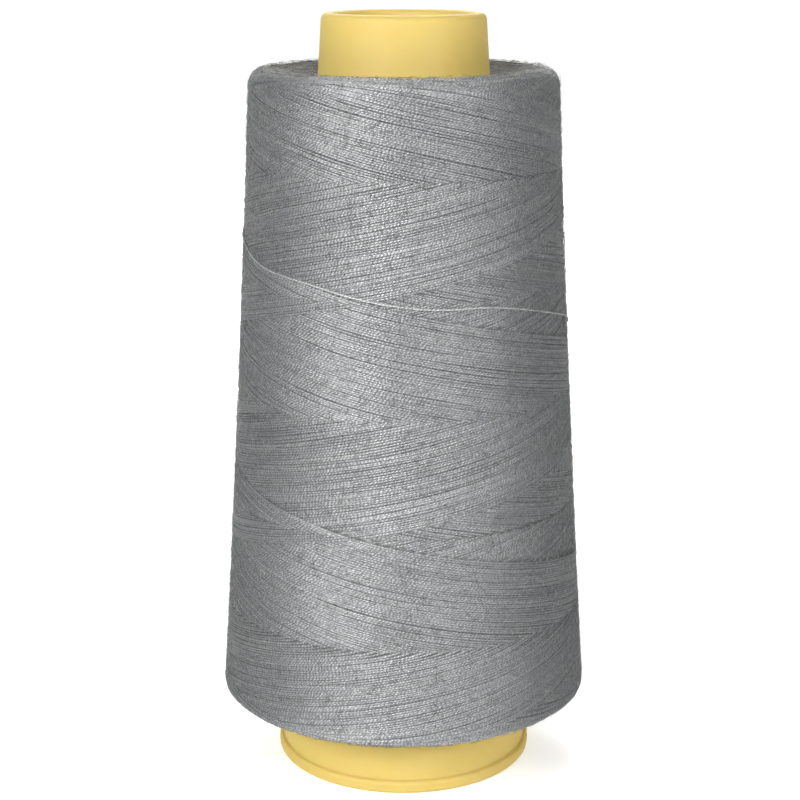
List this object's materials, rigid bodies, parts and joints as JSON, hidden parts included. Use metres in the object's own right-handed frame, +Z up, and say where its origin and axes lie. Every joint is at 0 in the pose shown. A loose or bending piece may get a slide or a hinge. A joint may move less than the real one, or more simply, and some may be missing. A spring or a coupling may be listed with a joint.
{
  "type": "cone of sewing thread",
  "caption": "Tapered package of cross-wound sewing thread on a moulded plastic cone with a rounded nose, a through bore and a rimmed foot.",
  "frame": {"origin": "centre of the cone's foot, on the plane that it stands on", "axes": "+Z up along the cone's axis towards its nose; -Y is the front"},
  "size_m": [0.0828, 0.0834, 0.17],
  "materials": {
    "cone_plastic": "yellow moulded polypropylene, matte and slightly translucent",
    "thread": "mid grey spun polyester thread, matte with fine stray fibres"
  },
  "bodies": {
    "root": {"cone": "cone_plastic", "inner_windings": "thread", "outer_turns": "thread"}
  },
  "joints": []
}
